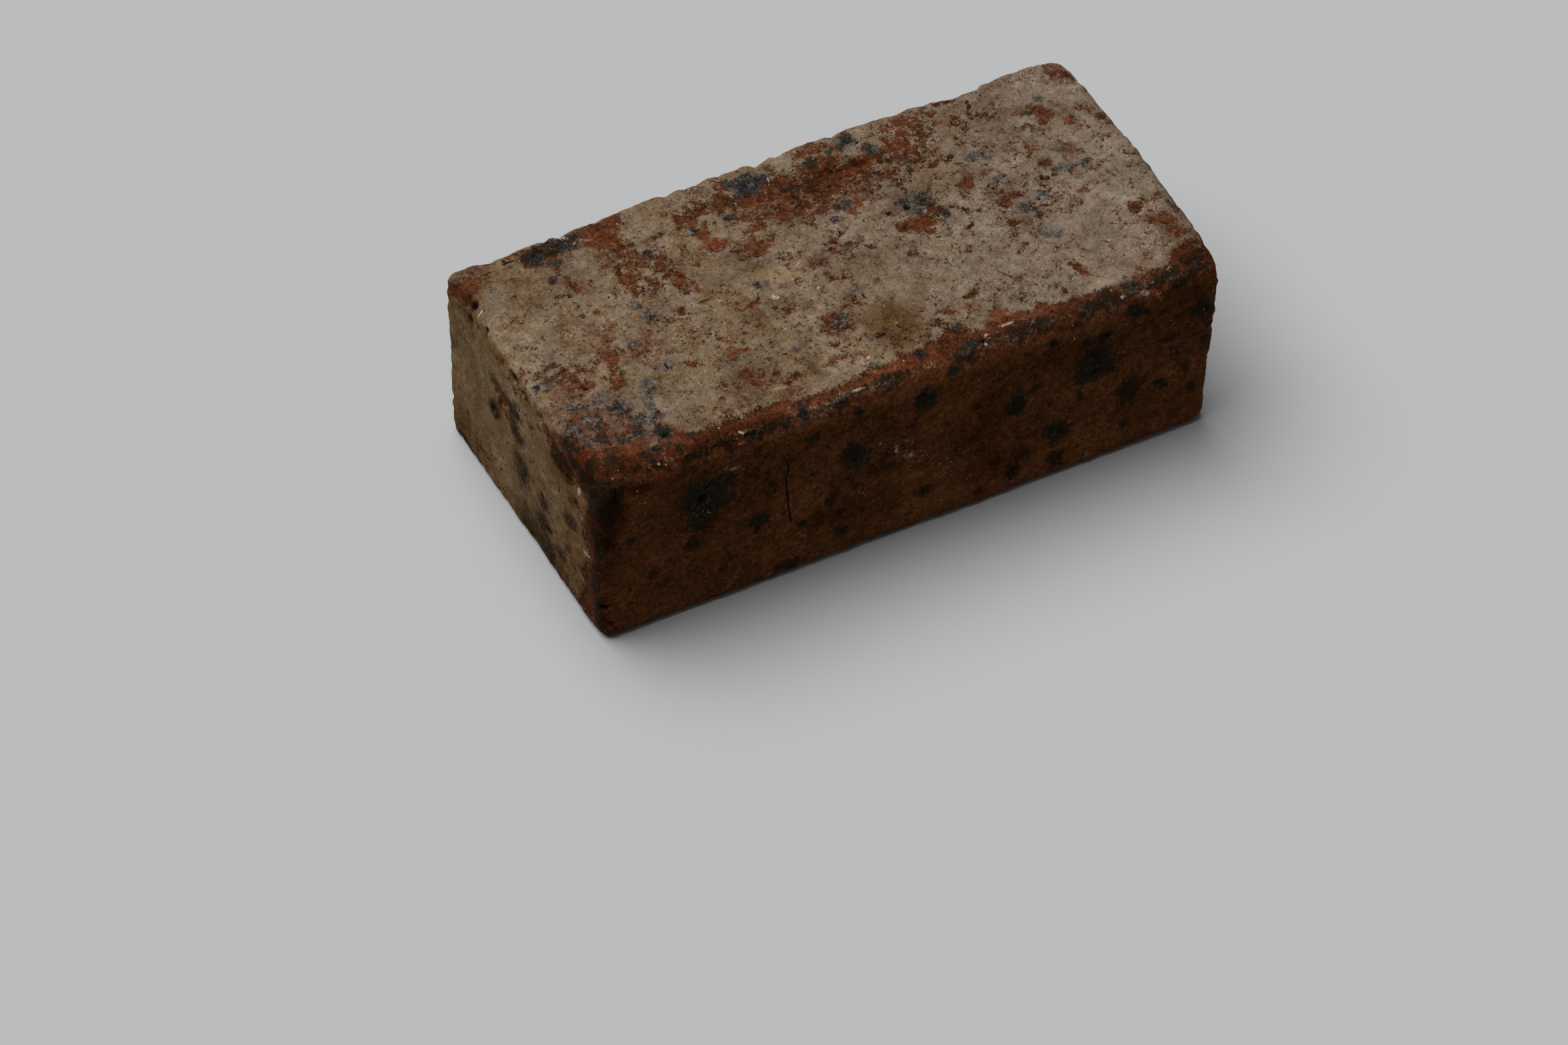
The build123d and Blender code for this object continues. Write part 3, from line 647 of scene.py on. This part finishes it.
# the film of old mortar: 1 well inside it, 0 at its edge, less on bare clay; and the tints of film and clay
def layFilm(points, faces, fields):
    x, y, z = points.T
    fromBed, fromFront, fromBack, fromHeader = (
        faces[name]["w"] for name in ("upperBed", "frontStretcher", "backStretcher", "leftHeader"))
    fromEdge = {
        "upperBed": y - np.interp(x, *zip(*upperBed["filmEdge"])),
        "leftHeader": y - np.interp(z, *zip(*leftHeader["filmEdge"])),
        "lowerBed": lowerBed["filmHalf"] - abs(y),
        "rightHeader": rightHeader["filmHalf"] - abs(y),
    }
    fromFlecks = abs(fromBed - limeFilm["fleckDepth"]) + abs(fromFront - limeFilm["fleckDepth"])
    film = limeFilm["fleckRise"] * np.exp(-(x / limeFilm["fleckSpread"]) ** 2) - limeFilm["fleckFall"]
    film -= fromFlecks / limeFilm["fleckFade"]
    for name, (edge, full) in limeFilm["faces"].items():
        roundArris = (limeFilm["arrisReach"] - faces[name]["w"]) / limeFilm["arrisFade"]
        cover = np.minimum(np.minimum(fromEdge[name] / edge, roundArris), full)
        film = np.maximum(film, cover - faces[name]["wear"])
    ragged = sum(strength * lumps(points, size, seed) for size, strength, seed in limeFilm["ragged"])
    fields["limeFilm"] = np.clip(film + ragged, -limeFilm["most"], limeFilm["most"])

    onBed = smoothStep(*limeFilm["bedDepth"], fromBed)
    onHeader = np.where(fromHeader < limeFilm["headerDepth"], limeFilm["ochreHeader"], 0) * (1 - onBed)
    fields["ochre"] = onHeader + onBed * np.interp(x, *zip(*limeFilm["ochreAlong"]))
    # clay under the film and on the rubbed arrises is redder than the weathered stretchers
    weathered = smoothStep(*skin["weathered"], np.minimum(fromFront, fromBack))
    fields["rubbed"] = 1 - weathered * smoothStep(*skin["weatheredBelow"], fromBed)


# how far the skin stands out along its normals, in mm
def skinRelief(points, faces, fields):
    relief = sum(rise * lumps(points, size, seed) for size, rise, seed in skin["lumps"])
    nearest = np.sort([face["w"] for face in faces.values()], axis=0)
    onArris = np.clip(1 - nearest[1] / skin["chipReach"], 0, 1)
    for size, depth, seed, start, full in skin["chips"]:
        relief -= onArris * depth * smoothStep(start, full, lumps(points, size, seed))
    for kind, (rise, start, full) in skin["markRelief"].items():
        relief += rise * smoothStep(start, full, fields[kind])
    return relief


def clayBrick():
    low, high = (np.array(corner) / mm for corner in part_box("brick"))
    points, quads = laySkin(low, high)
    print("skin laid over the solid:", len(quads), "quads")
    faces = brickFaces(points, low, high)
    fields = {name: np.zeros(len(points)) for name in fieldNames}
    hollows = pressLines(faces, fields)
    layMarks(points, faces, fields)
    layFilm(points, faces, fields)
    relief = hollows + skinRelief(points, faces, fields)
    points = points + vertexNormals(points, quads) * relief[:, None]
    points[:, 2] = np.maximum(points[:, 2], low[2])          # it still lies flat on the floor
    print("marks and relief laid in")

    mesh = bpy.data.meshes.new("clayBrick")
    mesh.from_pydata((points * mm).tolist(), [], quads.tolist())
    mesh.shade_smooth()
    for name, values in fields.items():
        mesh.attributes.new(name, "FLOAT", "POINT").data.foreach_set("value", values.astype(np.float32))
    return addObject("clayBrick", mesh)


# Fired clay: pressed into a sanded mould and burnt in a clamp. Matt, red-brown to orange, with grains of
# sand, iron burnt to dark slaggy spots, and over it a thin buff film of lime mortar, ragged and full of
# pinholes.
# stain darkens by multiplying; a few of its marks are painted shade, in a groove and under a fold
clayColours = {"veilOnClay": "#27241A", "stainAndShade": "#B29B7C", "chalk": "#C4B6A3", "pores": "#2A1B11",
               # pits and cracks are painted near black, as the shade inside them
               "shadedPits": "#120B07"}
# colours that run from dark to light, and the tone that they follow
clayRamps = {
    "clay": ("clayTone", [
        (0.0, "#24140A"), (0.3, "#482B14"), (0.5, "#613B1F"), (0.75, "#794A28"), (1.0, "#93603A")]),
    "rubbedClay": ("clayTone", [
        (0.0, "#22120A"), (0.3, "#452613"), (0.5, "#5F3620"), (0.75, "#774429"), (1.0, "#925D3D")]),
    "iron": ("ironTone", [(0.2, "#0C0B07"), (0.5, "#1F1D13"), (0.8, "#322F22"), (1.0, "#4C493A")]),
    "rubbedIron": ("ironTone", [(0.2, "#100F0F"), (0.5, "#2A2827"), (0.8, "#45423E"), (1.0, "#66625B")]),
    "greyFilm": ("filmTone", [
        (0.0, "#4A3D31"), (0.25, "#675646"), (0.5, "#82715F"), (0.75, "#998876"), (1.0, "#B3A492")]),
    "ochreFilm": ("filmTone", [
        (0.0, "#42301B"), (0.25, "#5F492A"), (0.5, "#7B623E"), (0.75, "#927752"), (1.0, "#AA916C")]),
    "thinFilm": ("thinTone", [(0.0, "#3A241A"), (0.5, "#634336"), (1.0, "#8B6C58")]),
    "veilOnFilm": ("veilTone", [(0.1, "#1D1C1B"), (0.5, "#4A4742"), (0.9, "#7C7770")]),
}
# size of each pattern in mm; grit and sand are drawn coarser than they are, so that they show
clayGrain = {"drift": 48.0, "cloud": 16.0, "mottle": 4.4, "speck": 1.9, "grit": 0.8, "crook": 1.6,
             "flakes": 1.7, "sand": 0.6, "pore": 1.6, "grain": 1.4}
noiseDetail = {"drift": 2.0, "cloud": 3.0, "mottle": 3.0, "speck": 3.0, "grit": 2.0}
# how much of each mark and pattern is added to a middle tone; A, B and C are a pattern's channels
clayTones = {
    "clayTone": {"pale": 0.16, "driftA": 0.7, "cloudA": 0.7, "mottleA": 0.7, "speckA": 1.0, "gritA": 1.0,
                 "sandA": 0.22, "flakesA": 0.12},
    "ironTone": {"speckC": 1.1, "gritC": 1.1, "sandB": 0.5, "flakesB": 0.25},
    "filmTone": {"pale": 0.16, "driftB": 0.6, "cloudB": 0.7, "mottleC": 0.7, "speckB": 0.6, "gritB": 0.6,
                 "sandB": 0.22, "flakesB": 0.1},
    "thinTone": {"speckA": 0.9, "gritC": 1.2, "sandC": 0.4},
    "veilTone": {"speckA": 1.3, "gritC": 1.3, "sandC": 0.5},
}
# masks in the same way: the sum where each starts, the sum where it is full, its strength, what is summed
clayMasks = {
    # iron spots are clusters of dark grains, thinning out at the rim, in a dark veil
    "veilMask": (0.38, 0.76, 0.85, {
        "veil": 1.0, "mottleC": 1.2, "speckC": 1.4, "gritB": 1.2, "flakesB": 0.4, "sandC": 0.3}),
    "ironMask": (0.3, 0.7, 0.95, {
        "iron": 1.0, "mottleB": 0.9, "speckB": 1.3, "gritB": 1.2, "flakesB": 0.5, "sandB": 0.4}),
    # the film flakes off at its edge and over the iron, and is pink-brown where it is thin
    "filmMask": (-0.2, 0.48, 1.0, {
        "limeFilm": 1.0, "speckA": 1.4, "gritA": 2.0, "flakesA": 0.7, "sandA": 0.8, "ironMask": -1.3}),
    "ochreMask": (0.0, 1.0, 1.0, {"ochre": 1.0, "cloudC": 1.4, "mottleA": 1.6, "speckC": 1.4}),
    "thinMask": (-0.1, 0.7, 0.85, {
        "thin": 1.0, "cloudC": 1.1, "mottleB": 1.6, "speckC": 1.5, "flakesC": 0.3, "limeFilm": -0.35,
        "speckA": -0.49, "gritA": -0.7, "flakesA": -0.245, "sandA": -0.28, "ironMask": 0.455}),
    # stains, and a few marks of painted shade
    "stainAndShadeMask": (0.05, 0.95, 1.0, {"stainAndShade": 1.0, "mottleB": 0.7, "speckB": 0.5}),
    "chalkAndGlintMask": (0.6, 0.95, 0.85, {"chalk": 1.0, "speckB": 1.0, "gritA": 1.3, "sandB": 0.5}),
    # pale sand grains as white dots, which also stand for painted glints off them
    "glintGrainPicked": (0.95, 1.02, 1.0, {"grainNumber": 1.0, "cloudB": 0.3, "grains": 0.25}),
    "glintGrainDot": (0.26, 0.13, 1.0, {"grainDistance": 1.0}),
    "poreSize": (0.62, 1.0, 0.32, {"poreNumber": 1.0}),
    "poreMask": (0.0, -0.08, 0.8, {"poreDistance": 1.0, "poreSize": -1.0}),
    # pits and cracks, painted dark as the shade inside them
    "pitShadeMask": (0.5, 0.85, 1.0, {"shadedPits": 1.0, "speckB": 0.7, "gritB": 0.4}),
    "crackShadeMask": (1.7, 0.7, 1.0, {"fromCrack": 1.0}),
}
# distance from the middle of a crack, in half widths, with ragged sides
crackCourse = {"crack": 1.0, "gritA": 5.0, "speckA": 6.0, "mottleA": 5.0}
# coats of colour: what each starts from, and what is laid over it by which mask
clayCoats = {
    "bareClay": ("clay", {"rubbedClay": "rubbed", "veilOnClay": "veilMask"}),
    "ironSpots": ("iron", {"rubbedIron": "rubbed"}),
    "oldFilm": ("greyFilm", {"ochreFilm": "ochreMask", "thinFilm": "thinMask", "veilOnFilm": "veilMask"}),
    "whole": ("bareClay", {"ironSpots": "ironMask", "oldFilm": "filmMask", "stainAndShade": "stainAndShadeMask",
                           "chalk": "chalkAndGlintMask", "pores": "poreMask", "shadedPits": "pitShadeMask"}),
}
# relief too fine for the skin's grid, in mm
clayRelief = {"filmMask": 0.2, "speckA": 0.6, "gritB": 0.5, "sandB": 0.08, "poreMask": -0.4, "pitShadeMask": -0.6}
# burnt clay is matt, the iron slag in it a little less so
clayFinish = {
    "rough": 0.92, "ironRough": {"ironMask": -0.17}, "ior": 1.45, "specular": 0.05, "bump": 0.45,
    "middleTone": 0.5, "patternMiddle": 0.5, "noiseRoughness": 0.6,
    "crookReach": 2.4,                   # mm that the sides of broken cells and pores are bent by
}


def firedClay():
    material = bpy.data.materials.new("firedClayWithLimeFilm")
    tree = emptyTree(material)
    place = addNode(tree, "TexCoord", out="Object")
    perMetre = {name: 1 / (size * mm) for name, size in clayGrain.items()}

    # broken cells have crooked sides, for what flakes off or lies in grains
    crook = addNode(tree, "TexNoise", {"Vector": place, "Scale": perMetre["crook"]}, out="Color")
    middle = clayFinish["patternMiddle"]
    crook = addNode(tree, "VectorMath", {0: crook, 1: (middle,) * 3}, operation="SUBTRACT")
    crooked = addNode(tree, "VectorMath", {
        0: crook, 1: (clayFinish["crookReach"] * mm,) * 3, 2: place}, operation="MULTIPLY_ADD")
    patterns = {}
    for name, detail in noiseDetail.items():
        patterns[name] = addNode(tree, "TexNoise", {
            "Vector": place, "Scale": perMetre[name], "Detail": detail,
            "Roughness": clayFinish["noiseRoughness"]}, out="Color")
    for name in ("flakes", "sand"):
        patterns[name] = addNode(tree, "TexVoronoi", {
            "Vector": crooked, "Scale": perMetre[name]}, out="Color")

    # what can be summed: the skin's marks, the patterns moved to run about zero, and dots with a number each
    values = {name: addNode(tree, "Attribute", out="Fac", attribute_name=name) for name in fieldNames}
    for name, pattern in patterns.items():
        channels = addNode(tree, "SeparateColor", {"Color": pattern}, out=slice(0, 3))
        for letter, channel in zip("ABC", channels):
            values[name + letter] = addNode(tree, "Math", {0: channel, 1: middle}, operation="SUBTRACT")
    for name, vector, channel in (("grain", place, "Green"), ("pore", crooked, "Blue")):
        dots = {"Vector": vector, "Scale": perMetre[name]}
        values[name + "Distance"] = addNode(tree, "TexVoronoi", dots, out="Distance")
        number = addNode(tree, "TexVoronoi", dots, out="Color")
        values[name + "Number"] = addNode(tree, "SeparateColor", {"Color": number}, out=channel)

    # weighted sum on top of a start value
    def weighted(total, weights):
        for name, weight in weights.items():
            total = addNode(tree, "Math", {0: values[name], 1: weight, 2: total}, operation="MULTIPLY_ADD")
        return total

    values["fromCrack"] = addNode(tree, "Math", {0: weighted(0.0, crackCourse)}, operation="ABSOLUTE")
    for name, (start, full, strength, weights) in clayMasks.items():
        values[name] = addNode(tree, "MapRange", {
            "Value": weighted(0.0, weights), "From Min": start, "From Max": full, "To Max": strength})
    # chalk takes in the picked grains, pale sand partly painted as glints, and the painted shade of pits
    # takes in the cracks
    takenIn = (("chalkAndGlintMask", "glintGrainDot", "glintGrainPicked"), ("pitShadeMask", "crackShadeMask", "crackShare"))
    for mask, form, share in takenIn:
        added = addNode(tree, "Math", {0: values[form], 1: values[share]}, operation="MULTIPLY")
        values[mask] = addNode(tree, "Math", {0: values[mask], 1: added}, operation="MAXIMUM")
    for name, weights in clayTones.items():
        values[name] = weighted(clayFinish["middleTone"], weights)

    colours = {name: linear(plain) for name, plain in clayColours.items()}
    for name, (tone, stops) in clayRamps.items():
        colours[name] = addNode(tree, "ValToRGB", {"Fac": values[tone]}, stops=stops)
    # sockets 6 and 7 of Mix are its two colours
    for coat, (base, layers) in clayCoats.items():
        colours[coat] = colours[base]
        for name, mask in layers.items():
            colours[coat] = addNode(
                tree, "Mix", {0: values[mask], 6: colours[coat], 7: colours[name]}, out=2, data_type="RGBA",
                blend_type="MULTIPLY" if name == "stainAndShade" else "MIX")

    height = weighted(0.0, clayRelief)
    bump = addNode(tree, "Bump", {"Strength": clayFinish["bump"], "Distance": mm, "Height": height})
    rough = weighted(clayFinish["rough"], clayFinish["ironRough"])
    shader = addNode(tree, "BsdfPrincipled", {
        "Base Color": colours["whole"], "Roughness": rough, "IOR": clayFinish["ior"],
        "Specular IOR Level": clayFinish["specular"], "Normal": bump})
    addNode(tree, "OutputMaterial", {"Surface": shader}, out=slice(0, 0))
    return material


brick = clayBrick()
brick.data.materials.append(firedClay())
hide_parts("brick")
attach(brick, "root")
print("brick finished")

# plain pale floor, soft light from above and a little behind, and a low even fill: metres and degrees
studio = {"floor": "#C2C3C4", "floorBounce": "#8A8887", "floorHalf": 6.0, "fill": 0.11, "keyStrength": 2.85,
          "keyAngle": 55.0, "keyFrom": (-0.24, 0.30, 0.92)}


# 1 for the rays that show floor and backdrop to the camera, also in a gloss or through glass
def shownRays(tree):
    shown = 0.0
    for ray in ("Is Camera Ray", "Is Glossy Ray", "Is Transmission Ray"):
        shown = addNode(tree, "Math", {0: addNode(tree, "LightPath", out=ray), 1: shown}, operation="MAXIMUM")
    return shown


def studioFloor():
    half = studio["floorHalf"]
    mesh = bpy.data.meshes.new("floor")
    corners = [(-half, -half, 0), (half, -half, 0), (half, half, 0), (-half, half, 0)]
    mesh.from_pydata(corners, [], [(0, 1, 2, 3)])
    floor = addObject("floor", mesh)
    material = bpy.data.materials.new("paleFloor")
    tree = emptyTree(material)
    shown = addNode(tree, "BsdfDiffuse", {"Color": linear(studio["floor"])})
    thrownBack = addNode(tree, "BsdfDiffuse", {"Color": linear(studio["floorBounce"])})
    mixed = addNode(tree, "MixShader", {0: shownRays(tree), 1: thrownBack, 2: shown})
    addNode(tree, "OutputMaterial", {"Surface": mixed}, out=slice(0, 0))
    mesh.materials.append(material)


def studioLight():
    key = bpy.data.lights.new("softKey", "SUN")
    key.energy = studio["keyStrength"]
    key.angle = math.radians(studio["keyAngle"])
    lamp = addObject("softKey", key)
    lamp.rotation_euler = Vector(studio["keyFrom"]).to_track_quat("Z", "Y").to_euler()
    scene.world = bpy.data.worlds.new("studio")
    tree = emptyTree(scene.world)
    backdrop = addNode(tree, "Background", {"Color": linear(studio["floor"])})
    fill = addNode(tree, "Background", {"Strength": studio["fill"]})
    mixed = addNode(tree, "MixShader", {0: shownRays(tree), 1: fill, 2: backdrop})
    addNode(tree, "OutputWorld", {"Surface": mixed}, out=slice(0, 0))


# camera matched to the edges of the brick in the photograph: degrees and mm
view = {"lens": 130.1, "sensor": 36.0, "azimuth": -26.75, "elevation": 46.99, "distance": 1898.0,
        "offsetRight": -17.02, "offsetUp": -34.41}


def photoCamera():
    azimuth, elevation = math.radians(view["azimuth"]), math.radians(view["elevation"])
    flat = math.cos(elevation)
    back = Vector((math.sin(azimuth) * flat, -math.cos(azimuth) * flat, math.sin(elevation)))
    right = Vector((math.cos(azimuth), math.sin(azimuth), 0))
    up = back.cross(right)
    camera = addObject("photoCamera", bpy.data.cameras.new("photoCamera"))
    camera.data.lens = view["lens"]
    camera.data.sensor_width = view["sensor"]
    camera.data.sensor_fit = "HORIZONTAL"
    spot = (right * view["offsetRight"] + up * view["offsetUp"] + back * view["distance"]) * mm
    turn = Matrix((right, up, back)).transposed()
    camera.matrix_world = Matrix.Translation(spot) @ turn.to_4x4()
    scene.camera = camera


studioFloor()
studioLight()
photoCamera()
scene.view_settings.view_transform = "Standard"
print("floor, light and camera set")
